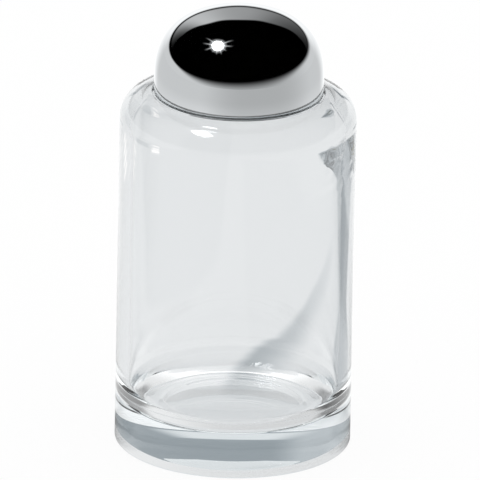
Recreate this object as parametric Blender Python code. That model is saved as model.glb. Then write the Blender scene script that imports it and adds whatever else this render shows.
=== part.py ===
"""Table oil cruet: a heavy glass cylinder, a steel pouring head and a hinged steel dome.

Metres, +Z up. The origin is the middle of the foot, on the table. The lid's hinge is at
the back, on the +Y side, and the spout's beak points to the front, along -Y.
"""

import math

import bmesh
import bpy
from mathutils import Matrix, Vector

MM = 0.001

# Glass bottle, outside
BODY_RADIUS = 31.0 * MM
SHOULDER_CORNER_HEIGHT = 94.2 * MM
SHOULDER_SLOPE_DEG = 14.6
SHOULDER_ROUNDING = 5.0 * MM
FOOT_ROUNDING = 0.8 * MM
PUNT_RADIUS = 21.0 * MM
PUNT_DEPTH = 0.4 * MM
LAND_MARGIN = 0.35 * MM
LAND_DEPTH = 0.6 * MM
NECK_HEIGHT = 6.9 * MM
NECK_INSET = 7.25 * MM
NECK_WALL = 3.0 * MM
NECK_ROOT_ROUNDING = 0.8 * MM
NECK_LIP_ROUNDING = 1.0 * MM

# Glass bottle, inside
SIDE_WALL = 3.5 * MM
FLOOR_THICKNESS = 10.0 * MM
SHOULDER_WALL = 3.4 * MM
LAND_WALL = 2.1 * MM
CAVITY_FOOT_ROUNDING = 8.0 * MM
CAVITY_SHOULDER_ROUNDING = 4.0 * MM
NECK_MOUTH_ROUNDING = 1.5 * MM

# Fits between pieces
SEAT_GAP = 0.3 * MM
TUBE_CLEARANCE = 0.3 * MM
PLATE_CLEARANCE = 0.4 * MM

# Steel dome
DOME_RADIUS = 22.25 * MM
DOME_HEIGHT = 21.4 * MM
DOME_WALL = 0.9 * MM
DOME_SQUARENESS = 2.68
RIM_ROUNDING = 1.0 * MM
RIM_LIP_WIDTH = 0.5 * MM
RIM_LIP_HEIGHT = 0.7 * MM

# Steel collar and pourer, both pressed from one gauge of sheet
SHEET = 0.5 * MM
COLLAR_BEND = 0.9 * MM
FLANGE_INSET = 0.25 * MM
COLLAR_TOP_WIDTH = 3.6 * MM
DISH_DEPTH = 1.2 * MM
DISH_INSET = 0.4 * MM
DISH_BEND = 0.6 * MM
DISH_WIDTH = 5.4 * MM
SPOUT_HEIGHT = 5.7 * MM
SPOUT_ROOT_BEND = 1.0 * MM
SPOUT_FLARE = 1.5 * MM
SPOUT_LIP_WIDTH = 0.7 * MM
SPOUT_LIP_DROP = 0.25 * MM
SPOUT_LEAN = 1.2 * MM
BEAK_REACH = 1.5 * MM
VENT_RADIUS = 0.8 * MM

# Silicone plug in the neck
PLUG_WALL = 1.1 * MM
PLUG_RIB_DEPTH = 0.7 * MM
PLUG_RIB_GAP = 0.2 * MM
PLUG_RIB_PITCH = 2.4 * MM
PLUG_RIB_WIDTH = 1.4 * MM
PLUG_RIBS = 3
PLUG_FLANGE = 0.8 * MM
PLUG_TAIL = 0.6 * MM

# Hinge at the back
PIN_RADIUS = 0.8 * MM
PIN_CLEARANCE = 0.1 * MM
PIN_HEAD_RADIUS = 1.25 * MM
PIN_HEAD_THICKNESS = 0.5 * MM
KNUCKLE_WALL = 0.7 * MM
KNUCKLE_WIDTH = 5.2 * MM
KNUCKLE_GAP = 0.25 * MM
HINGE_SIDE_GAP = 0.15 * MM
HINGE_INSET = 0.55 * MM
EAR_THICKNESS = 1.1 * MM
BRACKET_LENGTH = 4.8 * MM
STRAP_THICKNESS = 0.7 * MM
STRAP_HEIGHT = 8.0 * MM
NOTCH_SIDE_GAP = 0.5 * MM
NOTCH_TOP_GAP = 0.6 * MM

# Stopper inside the dome
STOPPER_OVERLAP = 0.3 * MM
STOPPER_THICKNESS = 1.6 * MM
STOPPER_ROUNDING = 0.4 * MM
CUP_GRIP = 0.8 * MM
HUB_RADIUS = 3.2 * MM
HUB_FOOT_ROUNDING = 0.8 * MM

# Facets
BODY_STEPS = 48
RING_STEPS = 40
SMALL_STEPS = 20
BEND_STEPS = 2
ARC_STEPS = 3
WIDE_ARC_STEPS = 6
DOME_STEPS = 11
SPOUT_STEPS = 4
STRAP_STEPS = 5
SHARP_ANGLE_DEG = 35.0
CUT_OVERRUN = 2.0 * MM
WELD_DISTANCE = 0.001 * MM

# Sizes that follow from the ones above
SHOULDER_RISE = math.tan(math.radians(SHOULDER_SLOPE_DEG))
SHOULDER_WALL_HEIGHT = SHOULDER_WALL / math.cos(math.radians(SHOULDER_SLOPE_DEG))
LAND_RADIUS = DOME_RADIUS + LAND_MARGIN
SHOULDER_TOP = SHOULDER_CORNER_HEIGHT + (BODY_RADIUS - LAND_RADIUS) * SHOULDER_RISE
LAND_HEIGHT = SHOULDER_TOP - LAND_DEPTH
NECK_RADIUS = DOME_RADIUS - NECK_INSET
NECK_BORE_RADIUS = NECK_RADIUS - NECK_WALL
NECK_TOP = LAND_HEIGHT + NECK_HEIGHT
CAVITY_RADIUS = BODY_RADIUS - SIDE_WALL
CAVITY_CORNER_HEIGHT = SHOULDER_CORNER_HEIGHT + SIDE_WALL * SHOULDER_RISE - SHOULDER_WALL_HEIGHT
CAVITY_TOP = LAND_HEIGHT - LAND_WALL
CEILING_RADIUS = CAVITY_RADIUS - (CAVITY_TOP - CAVITY_CORNER_HEIGHT) / SHOULDER_RISE
FLANGE_BOTTOM = LAND_HEIGHT + SEAT_GAP
FLANGE_TOP = FLANGE_BOTTOM + SHEET
RIM_HEIGHT = FLANGE_TOP + SEAT_GAP
DOME_TOP = RIM_HEIGHT + DOME_HEIGHT
DOME_WAIST = RIM_HEIGHT + RIM_ROUNDING
TUBE_RADIUS = NECK_RADIUS + TUBE_CLEARANCE
PLATE_RADIUS = TUBE_RADIUS - PLATE_CLEARANCE
RIB_RADIUS = NECK_BORE_RADIUS - PLUG_RIB_GAP
PLUG_CORE_RADIUS = RIB_RADIUS - PLUG_RIB_DEPTH
PLUG_BORE_RADIUS = PLUG_CORE_RADIUS - PLUG_WALL
PLUG_SEAT = NECK_TOP + SEAT_GAP
PLATE_BOTTOM = PLUG_SEAT + PLUG_FLANGE + SEAT_GAP
PLATE_TOP = PLATE_BOTTOM + SHEET
COLLAR_TOP = PLATE_TOP + SEAT_GAP + SHEET
DISH_TOP = PLATE_TOP - DISH_DEPTH
DISH_RADIUS = PLUG_BORE_RADIUS - DISH_INSET - DISH_BEND
SPOUT_RADIUS = PLUG_BORE_RADIUS - DISH_WIDTH
SPOUT_TOP = PLATE_TOP + SPOUT_HEIGHT
SPOUT_MOUTH = SPOUT_RADIUS - SHEET + SPOUT_FLARE + SPOUT_LEAN + BEAK_REACH
STOPPER_RADIUS = SPOUT_MOUTH + STOPPER_OVERLAP
STOPPER_BOTTOM = SPOUT_TOP + SEAT_GAP
STOPPER_TOP = STOPPER_BOTTOM + STOPPER_THICKNESS
CUP_BOTTOM = STOPPER_TOP + SEAT_GAP
KNUCKLE_RADIUS = PIN_RADIUS + PIN_CLEARANCE + KNUCKLE_WALL
HINGE_Y = DOME_RADIUS - HINGE_INSET
HINGE_Z = FLANGE_TOP + KNUCKLE_GAP + KNUCKLE_RADIUS
EAR_INSIDE = KNUCKLE_WIDTH / 2 + HINGE_SIDE_GAP
EAR_OUTSIDE = EAR_INSIDE + EAR_THICKNESS
PIN_HEAD_INSIDE = EAR_OUTSIDE + HINGE_SIDE_GAP
PIN_END = PIN_HEAD_INSIDE + PIN_HEAD_THICKNESS
NOTCH_HALF_WIDTH = PIN_END + NOTCH_SIDE_GAP
NOTCH_TOP = HINGE_Z + KNUCKLE_RADIUS + NOTCH_TOP_GAP


def material(name, colour, roughness, metallic=0.0, transmission=0.0):
    """One Principled finish."""
    made = bpy.data.materials.new(name)
    made.use_nodes = True
    shader = made.node_tree.nodes["Principled BSDF"]
    shader.inputs["Base Color"].default_value = (*colour, 1.0)
    shader.inputs["Roughness"].default_value = roughness
    shader.inputs["Metallic"].default_value = metallic
    shader.inputs["Transmission Weight"].default_value = transmission
    return made


def piece(name, bm, finish):
    """Turns a finished bmesh into a named object with its faces pointing out."""
    bmesh.ops.remove_doubles(bm, verts=bm.verts, dist=WELD_DISTANCE)
    bmesh.ops.recalc_face_normals(bm, faces=bm.faces)
    mesh = bpy.data.meshes.new(name)
    bm.to_mesh(mesh)
    bm.free()
    mesh.shade_smooth()
    mesh.set_sharp_from_angle(angle=math.radians(SHARP_ANGLE_DEG))
    mesh.materials.append(finish)
    made = bpy.data.objects.new(name, mesh)
    bpy.context.scene.collection.objects.link(made)
    return made


def rounded(corners):
    """Points of an outline whose corners are (r, z) or (r, z, fillet radius, steps)."""
    points = []
    for index, (r, z, *fillet) in enumerate(corners):
        corner = Vector((r, z))
        if not fillet:
            points.append(corner)
            continue
        radius, steps = fillet
        before = Vector(corners[index - 1][:2]) - corner
        after = Vector(corners[index + 1][:2]) - corner
        half = before.angle(after) / 2
        reach = min(radius / math.tan(half), before.length / 2, after.length / 2)
        start = corner + before.normalized() * reach
        middle_way = (before.normalized() + after.normalized()).normalized()
        middle = corner + middle_way * (reach / math.cos(half))
        spoke = start - middle
        sweep = spoke.angle_signed(corner + after.normalized() * reach - middle)
        for step in range(steps + 1):
            points.append(middle + Matrix.Rotation(-sweep * step / steps, 2) @ spoke)
    return points


def sheet_outline(corners, thickness):
    """Closed outline of a pressed sheet whose middle line has the given corners."""
    line = rounded(corners)
    left, right = [], []
    for index, point in enumerate(line):
        ahead = line[min(index + 1, len(line) - 1)]
        behind = line[max(index - 1, 0)]
        along = (ahead - behind).normalized()
        side = Vector((-along.y, along.x)) * (thickness / 2)
        left.append(point + side)
        right.append(point - side)
    return left + right[::-1]


def turned(name, outline, finish, closed, steps=RING_STEPS):
    """Spins an outline of (r, z) points about +Z. An open one starts and ends on the axis."""
    bm = bmesh.new()
    verts = [bm.verts.new((r, 0, z)) for r, z in outline]
    edges = [bm.edges.new(pair) for pair in zip(verts, verts[1:])]
    if closed:
        edges.append(bm.edges.new((verts[-1], verts[0])))
    bmesh.ops.spin(
        bm, geom=verts + edges, cent=(0, 0, 0), axis=(0, 0, 1),
        angle=2 * math.pi, steps=steps, use_merge=True,
    )
    return piece(name, bm, finish)


def extruded(name, outline, half_width, finish):
    """Extrudes a closed (y, z) outline to both sides of the YZ plane."""
    bm = bmesh.new()
    face = bm.faces.new([bm.verts.new((-half_width, y, z)) for y, z in outline])
    grown = bmesh.ops.extrude_face_region(bm, geom=[face])
    moved = [v for v in grown["geom"] if isinstance(v, bmesh.types.BMVert)]
    bmesh.ops.translate(bm, verts=moved, vec=(2 * half_width, 0, 0))
    return piece(name, bm, finish)


def rod(name, radius, half_length, direction, place, finish):
    """A round rod along an axis ("X" or "Z"), centred on a place."""
    bm = bmesh.new()
    bmesh.ops.create_cone(
        bm, cap_ends=True, segments=SMALL_STEPS,
        radius1=radius, radius2=radius, depth=2 * half_length,
    )
    if direction == "X":
        bmesh.ops.rotate(bm, verts=bm.verts, matrix=Matrix.Rotation(math.pi / 2, 3, "Y"))
    bmesh.ops.translate(bm, verts=bm.verts, vec=place)
    return piece(name, bm, finish)


def block(name, low, high, finish):
    """A plain box between two corners."""
    bm = bmesh.new()
    bmesh.ops.create_cube(bm, size=1)
    low, high = Vector(low), Vector(high)
    bmesh.ops.scale(bm, verts=bm.verts, vec=high - low)
    bmesh.ops.translate(bm, verts=bm.verts, vec=(low + high) / 2)
    return piece(name, bm, finish)


def cut(target, tool, operation="DIFFERENCE"):
    """Cuts a helper solid out of a piece, or joins it on, and keeps the helper out of the model."""
    step = target.modifiers.new(tool.name, "BOOLEAN")
    step.operation = operation
    step.solver = "EXACT"
    step.object = tool
    tool.hide_render = True
    tool.display_type = "WIRE"


def pivot(name, place):
    """An empty on a joint's axis."""
    made = bpy.data.objects.new(name, None)
    made.location = place
    bpy.context.scene.collection.objects.link(made)
    return made


def carry(joint, place, *pieces):
    """Hangs pieces on a joint's empty, with their origins on it."""
    for one in pieces:
        one.data.transform(Matrix.Translation(-Vector(place)))
        one.parent = joint


def glass_bottle(glass):
    """Cylinder with a thick floor, a sloping shoulder, a sunk land and an upright neck."""
    punt = []
    for step in range(WIDE_ARC_STEPS):
        share = step / WIDE_ARC_STEPS
        punt.append((PUNT_RADIUS * share, PUNT_DEPTH * (1 - share**2)))
    wall = [
        (PUNT_RADIUS, 0),
        (BODY_RADIUS, 0, FOOT_ROUNDING, ARC_STEPS),
        (BODY_RADIUS, SHOULDER_CORNER_HEIGHT, SHOULDER_ROUNDING, WIDE_ARC_STEPS),
        (LAND_RADIUS, SHOULDER_TOP),
        (LAND_RADIUS, LAND_HEIGHT),
        (NECK_RADIUS, LAND_HEIGHT, NECK_ROOT_ROUNDING, ARC_STEPS),
        (NECK_RADIUS, NECK_TOP, NECK_LIP_ROUNDING, ARC_STEPS),
        (NECK_BORE_RADIUS, NECK_TOP, NECK_LIP_ROUNDING, ARC_STEPS),
        (NECK_BORE_RADIUS, CAVITY_TOP, NECK_MOUTH_ROUNDING, ARC_STEPS),
        (CEILING_RADIUS, CAVITY_TOP),
        (CAVITY_RADIUS, CAVITY_CORNER_HEIGHT, CAVITY_SHOULDER_ROUNDING, WIDE_ARC_STEPS),
        (CAVITY_RADIUS, FLOOR_THICKNESS, CAVITY_FOOT_ROUNDING, WIDE_ARC_STEPS),
        (0, FLOOR_THICKNESS),
    ]
    return turned("glass_bottle", rounded(punt + wall), glass, closed=False, steps=BODY_STEPS)


def collar(steel):
    """Pressed ring round the neck. Its flange lies on the land and is the dome's seat."""
    middle_radius = TUBE_RADIUS + SHEET / 2
    middle_of_flange = FLANGE_BOTTOM + SHEET / 2
    middle_of_top = COLLAR_TOP - SHEET / 2
    line = [
        (DOME_RADIUS - FLANGE_INSET, middle_of_flange),
        (middle_radius, middle_of_flange, COLLAR_BEND, BEND_STEPS),
        (middle_radius, middle_of_top, COLLAR_BEND, BEND_STEPS),
        (middle_radius - COLLAR_TOP_WIDTH, middle_of_top),
    ]
    return turned("collar", sheet_outline(line, SHEET), steel, closed=True)


def neck_plug(silicone):
    """Ribbed sleeve that grips the neck's bore, with a flange between glass and plate."""
    flange_top = PLUG_SEAT + PLUG_FLANGE
    outline = [
        (PLUG_BORE_RADIUS, flange_top),
        (PLATE_RADIUS, flange_top),
        (PLATE_RADIUS, PLUG_SEAT),
        (PLUG_CORE_RADIUS, PLUG_SEAT),
    ]
    for rib in range(PLUG_RIBS):
        middle = PLUG_SEAT - (rib + 1) * PLUG_RIB_PITCH
        outline.append((PLUG_CORE_RADIUS, middle + PLUG_RIB_WIDTH / 2))
        outline.append((RIB_RADIUS, middle + PLUG_RIB_WIDTH / 4))
        outline.append((RIB_RADIUS, middle - PLUG_RIB_WIDTH / 4))
        outline.append((PLUG_CORE_RADIUS, middle - PLUG_RIB_WIDTH / 2))
    bottom = PLUG_SEAT - PLUG_RIBS * PLUG_RIB_PITCH - PLUG_RIB_WIDTH / 2 - PLUG_TAIL
    outline.append(((PLUG_CORE_RADIUS + PLUG_BORE_RADIUS) / 2, bottom))
    outline.append((PLUG_BORE_RADIUS, bottom))
    return turned("neck_plug", outline, silicone, closed=True)


def spout_line():
    """Middle line of the pourer's sheet: plate, dish, flaring spout and turned-down lip."""
    middle_of_plate = PLATE_TOP - SHEET / 2
    middle_of_dish = DISH_TOP - SHEET / 2
    middle_radius = SPOUT_RADIUS - SHEET / 2
    top = SPOUT_TOP - SHEET / 2
    line = [
        (PLATE_RADIUS, middle_of_plate),
        (DISH_RADIUS, middle_of_plate, DISH_BEND, BEND_STEPS),
        (DISH_RADIUS - DISH_DEPTH, middle_of_dish, DISH_BEND, BEND_STEPS),
        (middle_radius, middle_of_dish, SPOUT_ROOT_BEND, BEND_STEPS),
    ]
    for step in range(1, SPOUT_STEPS + 1):
        share = step / SPOUT_STEPS
        line.append((middle_radius + SPOUT_FLARE * share**3, middle_of_dish + (top - middle_of_dish) * share))
    line.append((middle_radius + SPOUT_FLARE + SPOUT_LIP_WIDTH, top - SPOUT_LIP_DROP))
    return line


def pourer(steel):
    """Dished plate and flared spout. The spout leans forward and its lip runs out to a beak."""
    made = turned("pourer", sheet_outline(spout_line(), SHEET), steel, closed=True)
    for vertex in made.data.vertices:
        x, y, z = vertex.co
        share = max(0.0, (z - DISH_TOP) / (SPOUT_TOP - DISH_TOP))
        if share == 0 or math.hypot(x, y) > PLUG_BORE_RADIUS - DISH_INSET:
            continue
        facing = max(0.0, -y / math.hypot(x, y))
        vertex.co.y = y - SPOUT_LEAN * share**2 - BEAK_REACH * share**3 * facing**3
    vent_y = (SPOUT_RADIUS + SPOUT_ROOT_BEND + DISH_RADIUS - DISH_DEPTH) / 2
    cut(made, rod("vent_tool", VENT_RADIUS, DISH_DEPTH + CUT_OVERRUN, "Z", (0, vent_y, DISH_TOP), steel))
    return made


def dome_curve(wall):
    """Outer (wall 0) or inner surface of the dome, from the top down to its waist."""
    radius = DOME_RADIUS - wall
    height = DOME_TOP - DOME_WAIST - wall
    points = []
    for step in range(DOME_STEPS + 1):
        angle = math.pi / 2 * (1 - step / DOME_STEPS)
        across = 0 if step == 0 else math.cos(angle) ** (2 / DOME_SQUARENESS)
        up = math.sin(angle) ** (2 / DOME_SQUARENESS)
        points.append(Vector((radius * across, DOME_WAIST + height * up)))
    return points


def inner_radius_at(height):
    """Radius of the dome's inner surface at a height."""
    share = max(0.0, height - DOME_WAIST) / (DOME_TOP - DOME_WAIST - DOME_WALL)
    return (DOME_RADIUS - DOME_WALL) * (1 - share**DOME_SQUARENESS) ** (1 / DOME_SQUARENESS)


def lid_dome(mirror):
    """Spun shell, squarer than half a ball, with its rim rolled in and a notch for the hinge."""
    outline = dome_curve(0)
    centre = Vector((DOME_RADIUS - RIM_ROUNDING, DOME_WAIST))
    for step in range(1, ARC_STEPS + 1):
        angle = -math.pi / 2 * step / ARC_STEPS
        outline.append(centre + Vector((math.cos(angle), math.sin(angle))) * RIM_ROUNDING)
    lip_radius = DOME_RADIUS - DOME_WALL - RIM_LIP_WIDTH
    outline.append(Vector((lip_radius, RIM_HEIGHT)))
    outline.append(Vector((lip_radius, RIM_HEIGHT + RIM_LIP_HEIGHT)))
    outline += dome_curve(DOME_WALL)[::-1]
    made = turned("lid_dome", outline, mirror, closed=False, steps=BODY_STEPS)
    notch = block(
        "notch_tool",
        (-NOTCH_HALF_WIDTH, HINGE_Y - KNUCKLE_RADIUS - CUT_OVERRUN, RIM_HEIGHT - CUT_OVERRUN),
        (NOTCH_HALF_WIDTH, DOME_RADIUS + CUT_OVERRUN, NOTCH_TOP),
        mirror,
    )
    cut(made, notch)
    return made


def hinge_bracket(steel):
    """Fixed half of the hinge: two ears on a foot plate that is welded to the collar's flange."""
    bottom = FLANGE_TOP + SEAT_GAP
    ear_radius = HINGE_Z - bottom
    front = HINGE_Y - BRACKET_LENGTH
    outline = [(front, bottom + SHEET), (front, bottom)]
    for step in range(2 * WIDE_ARC_STEPS + 1):
        angle = math.pi * (step / (2 * WIDE_ARC_STEPS) - 1 / 2)
        outline.append((HINGE_Y + ear_radius * math.cos(angle), HINGE_Z + ear_radius * math.sin(angle)))
    made = extruded("hinge_bracket", outline, EAR_OUTSIDE, steel)
    over_plate = block(
        "bracket_top_tool",
        (-EAR_INSIDE, front - CUT_OVERRUN, bottom + SHEET),
        (EAR_INSIDE, HINGE_Y + ear_radius + CUT_OVERRUN, HINGE_Z + ear_radius + CUT_OVERRUN),
        steel,
    )
    knuckle_slot = block(
        "bracket_slot_tool",
        (-EAR_INSIDE, HINGE_Y - KNUCKLE_RADIUS - KNUCKLE_GAP, bottom - CUT_OVERRUN),
        (EAR_INSIDE, HINGE_Y + ear_radius + CUT_OVERRUN, HINGE_Z),
        steel,
    )
    bore = rod(
        "bracket_bore_tool", PIN_RADIUS + PIN_CLEARANCE, PIN_END + CUT_OVERRUN, "X",
        (0, HINGE_Y, HINGE_Z), steel,
    )
    cut(made, over_plate)
    cut(made, knuckle_slot)
    cut(made, bore)
    return made


def hinge_pin(steel):
    """Pin with a low round head at each end, one of them peened over."""
    half = [
        (0, PIN_END),
        (PIN_HEAD_RADIUS - PIN_HEAD_THICKNESS / 2, PIN_END),
        (PIN_HEAD_RADIUS, PIN_END - PIN_HEAD_THICKNESS / 2),
        (PIN_HEAD_RADIUS, PIN_HEAD_INSIDE),
        (PIN_RADIUS, PIN_HEAD_INSIDE),
    ]
    outline = half + [(r, -z) for r, z in half[::-1]]
    made = turned("hinge_pin", outline, steel, closed=False, steps=SMALL_STEPS)
    made.data.transform(Matrix.Translation((0, HINGE_Y, HINGE_Z)) @ Matrix.Rotation(math.pi / 2, 4, "Y"))
    return made


def hinge_leaf(steel):
    """Moving half of the hinge: a knuckle on the pin and a strap up the dome's inner wall."""
    line = [(HINGE_Y - KNUCKLE_RADIUS + STRAP_THICKNESS / 2, HINGE_Z)]
    for step in range(STRAP_STEPS + 1):
        height = NOTCH_TOP + (HINGE_Z + STRAP_HEIGHT - NOTCH_TOP) * step / STRAP_STEPS
        wall = math.sqrt(inner_radius_at(height) ** 2 - (KNUCKLE_WIDTH / 2) ** 2)
        line.append((wall - SEAT_GAP - STRAP_THICKNESS / 2, height))
    made = extruded("hinge_leaf", sheet_outline(line, STRAP_THICKNESS), KNUCKLE_WIDTH / 2, steel)
    axis_place = (0, HINGE_Y, HINGE_Z)
    cut(made, rod("knuckle_tool", KNUCKLE_RADIUS, KNUCKLE_WIDTH / 2, "X", axis_place, steel), "UNION")
    cut(made, rod("leaf_bore_tool", PIN_RADIUS + PIN_CLEARANCE, PIN_END, "X", axis_place, steel))
    return made


def stopper_cup(steel):
    """Pressed cup that holds the stopper, on a hub that is welded to the crown of the dome."""
    crown = DOME_TOP - DOME_WALL - SEAT_GAP
    inside = STOPPER_RADIUS + SEAT_GAP
    outside = inside + SHEET
    outline = rounded([
        (0, CUP_BOTTOM),
        (inside, CUP_BOTTOM),
        (inside, CUP_BOTTOM - CUP_GRIP),
        (outside, CUP_BOTTOM - CUP_GRIP),
        (outside, CUP_BOTTOM + SHEET, SHEET, ARC_STEPS),
        (HUB_RADIUS, CUP_BOTTOM + SHEET, HUB_FOOT_ROUNDING, ARC_STEPS),
        (HUB_RADIUS, crown),
        (0, crown),
    ])
    return turned("stopper_cup", outline, steel, closed=False)


def stopper_pad(silicone):
    """Soft disc that closes the spout when the dome is shut."""
    outline = rounded([
        (0, STOPPER_BOTTOM),
        (STOPPER_RADIUS, STOPPER_BOTTOM, STOPPER_ROUNDING, ARC_STEPS),
        (STOPPER_RADIUS, STOPPER_TOP),
        (0, STOPPER_TOP),
    ])
    return turned("stopper_pad", outline, silicone, closed=False)


def build():
    """Makes every piece and hangs it on the joint that moves it."""
    for old in list(bpy.data.objects):
        bpy.data.objects.remove(old)

    glass = material("clear_glass", (0.93, 0.96, 0.96), 0.0, transmission=1.0)
    mirror = material("mirror_steel", (0.76, 0.76, 0.77), 0.04, metallic=1.0)
    satin = material("satin_steel", (0.66, 0.66, 0.67), 0.25, metallic=1.0)
    silicone = material("clear_silicone", (0.82, 0.84, 0.84), 0.45)

    glass_bottle(glass)

    head_place = Vector((0, 0, FLANGE_BOTTOM))
    head = pivot("head_lift", head_place)
    carry(head, head_place, collar(mirror), pourer(satin), neck_plug(silicone))
    carry(head, head_place, hinge_bracket(satin), hinge_pin(satin))

    lid_place = Vector((0, HINGE_Y, HINGE_Z))
    lid = pivot("lid_hinge", lid_place - head_place)
    lid.parent = head
    carry(lid, lid_place, lid_dome(mirror), hinge_leaf(satin), stopper_cup(satin), stopper_pad(silicone))


build()
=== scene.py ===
# %% [markdown]
# # A glass oil cruet with a hinged steel dome
# This lesson dresses a working model of a table cruet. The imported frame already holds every
# piece at its real size, with the joints that move it. Here the plain solids get fine surfaces,
# glass that bends light, and steel that mirrors a quiet studio.

# %% Load the frame
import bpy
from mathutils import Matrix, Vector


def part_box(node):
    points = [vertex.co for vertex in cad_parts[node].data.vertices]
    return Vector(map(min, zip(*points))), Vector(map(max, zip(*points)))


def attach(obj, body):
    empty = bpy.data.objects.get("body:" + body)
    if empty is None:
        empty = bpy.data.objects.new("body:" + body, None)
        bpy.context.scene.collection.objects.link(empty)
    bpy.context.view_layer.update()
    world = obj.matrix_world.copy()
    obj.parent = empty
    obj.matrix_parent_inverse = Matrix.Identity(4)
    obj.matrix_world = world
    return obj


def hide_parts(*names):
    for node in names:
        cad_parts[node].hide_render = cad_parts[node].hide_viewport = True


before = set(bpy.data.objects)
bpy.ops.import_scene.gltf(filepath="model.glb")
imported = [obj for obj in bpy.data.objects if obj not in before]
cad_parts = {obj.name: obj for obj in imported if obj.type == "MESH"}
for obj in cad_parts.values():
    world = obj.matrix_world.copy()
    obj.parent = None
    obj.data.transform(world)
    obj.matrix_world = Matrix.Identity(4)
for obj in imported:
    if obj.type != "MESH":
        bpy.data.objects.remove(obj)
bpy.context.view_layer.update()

# %% [markdown]
# ## Sizes
# Lengths are written in metres through MM. What the frame already knows, such as the bottle's
# radius or the height of a seat, is read from it, so that a changed frame changes the pieces
# here too. Only bends, slopes and gauges that a box can't tell are written down.

# %% Sizes read from the frame
import math

import bmesh
import bpy
from mathutils import Matrix, Vector, noise

MM = 0.001
ORIGIN = (0, 0, 0)
UP = (0, 0, 1)
bottle_low, bottle_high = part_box("glass_bottle")
dome_low, dome_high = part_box("lid_dome")
collar_low, collar_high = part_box("collar")
pourer_low, pourer_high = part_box("pourer")
plug_low, plug_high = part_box("neck_plug")
bracket_low, bracket_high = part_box("hinge_bracket")
pin_low, pin_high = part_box("hinge_pin")
leaf_low, leaf_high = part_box("hinge_leaf")
cup_low, cup_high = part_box("stopper_cup")
pad_low, pad_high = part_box("stopper_pad")
body_radius = bottle_high.x
dome_radius = dome_high.x
hinge_y = (pin_low.y + pin_high.y) / 2
hinge_z = (pin_low.z + pin_high.z) / 2
print("bottle", round(body_radius * 2 / MM, 1), "mm wide; dome", round(dome_radius * 2 / MM, 1), "mm wide")
print("hinge axis at y", round(hinge_y / MM, 2), "and z", round(hinge_z / MM, 2), "mm")

# %% [markdown]
# ## The camera
# The camera is settled first. A long lens from three metres away keeps the cylinder's sides
# almost parallel, as a catalogue photograph does. The height of the lens above the table, its
# slight tilt and the place of the bottle in the frame were measured on the photograph.

# %% Camera
CAMERA_ELEVATION_DEG = 20.35
CAMERA_ROLL_DEG = 1.08
CAMERA_DISTANCE = 3.011
SENSOR_WIDTH_MM = 36.0
IMAGE_PIXELS = 480
PIXELS_PER_METRE = 3824
TARGET_HEIGHT = 60 * MM
TARGET_PIXEL = (236.3, 222.2)

tilt = Matrix.Rotation(math.radians(90 - CAMERA_ELEVATION_DEG), 3, "X")
turn = tilt @ Matrix.Rotation(math.radians(CAMERA_ROLL_DEG), 3, "Z")
beside = (IMAGE_PIXELS / 2 - TARGET_PIXEL[0]) / PIXELS_PER_METRE
below = (IMAGE_PIXELS / 2 - TARGET_PIXEL[1]) / PIXELS_PER_METRE
aim = Vector((0, 0, TARGET_HEIGHT)) + turn @ Vector((beside, -below, 0))

camera = bpy.data.objects.new("camera", bpy.data.cameras.new("camera"))
camera.data.sensor_width = SENSOR_WIDTH_MM
camera.data.lens = SENSOR_WIDTH_MM * PIXELS_PER_METRE * CAMERA_DISTANCE / IMAGE_PIXELS
camera.location = aim + turn @ Vector((0, 0, CAMERA_DISTANCE))
camera.rotation_euler = turn.to_euler()
bpy.context.scene.collection.objects.link(camera)
bpy.context.scene.camera = camera
bpy.context.scene.view_settings.view_transform = "Standard"
print("lens", round(camera.data.lens), "mm")

# %% [markdown]
# ## Helpers for turned pieces
# Nearly every piece here is round, so two helpers do most of the work. One joins a few corner
# points into half of a cross-section and rounds each corner with a vertex bevel. The other
# spins the line once round the bottle's axis. A full spin merges its ends, or a seam would
# stay open.

# %% Turning helpers
FINE_TURNS = 192
ROUND_SEGMENTS = 6
WELD = 0.002 * MM


def profile(corners, closed=False):
    """A wire in the XZ plane through (radius, height, rounding) corners, with rounded corners."""
    bm = bmesh.new()
    verts = [bm.verts.new((radius, 0, height)) for radius, height, _ in corners]
    for pair in zip(verts, verts[1:]):
        bm.edges.new(pair)
    if closed:
        bm.edges.new((verts[-1], verts[0]))
    for vert, (_, _, rounding) in zip(verts, corners):
        if rounding:
            bmesh.ops.bevel(
                bm, geom=[vert], offset=rounding, offset_type="OFFSET", affect="VERTICES",
                segments=ROUND_SEGMENTS, profile=0.5, material=-1,
            )
    return bm


def finer(bm, longest):
    """Splits every edge of a wire into parts no longer than a given length."""
    for edge in list(bm.edges):
        cuts = int(edge.calc_length() / longest)
        if cuts:
            bmesh.ops.subdivide_edges(bm, edges=[edge], cuts=cuts)
    return bm


def spun(bm, turns=FINE_TURNS):
    """Spins a profile round the bottle's axis and closes the seam."""
    bmesh.ops.spin(
        bm, geom=bm.verts[:] + bm.edges[:], cent=ORIGIN, axis=UP,
        angle=2 * math.pi, steps=turns, use_merge=True,
    )
    bmesh.ops.remove_doubles(bm, verts=bm.verts, dist=WELD)
    bmesh.ops.recalc_face_normals(bm, faces=bm.faces)
    return bm


# %% [markdown]
# ## Helpers for finishing a piece
# A turned line becomes a pressed sheet with a Solidify modifier, and a Bevel breaks its edges as
# a file would. Holes and notches are cut with a Boolean by tools that are thrown away at once.
# The modifiers are applied, because the mesh they leave is what the model hands on.

# %% Finishing helpers
SHARP_DEG = 40
EDGE_SEGMENTS = 3


def solid(bm, name):
    """Puts a bmesh into the scene as a named object."""
    mesh = bpy.data.meshes.new(name)
    bm.to_mesh(mesh)
    bm.free()
    made = bpy.data.objects.new(name, mesh)
    bpy.context.scene.collection.objects.link(made)
    return made


def sheet(piece, gauge):
    """Gives a surface the gauge of its sheet, half to each side."""
    step = piece.modifiers.new("gauge", "SOLIDIFY")
    step.thickness = gauge
    step.offset = 0
    step.use_even_offset = True


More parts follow.
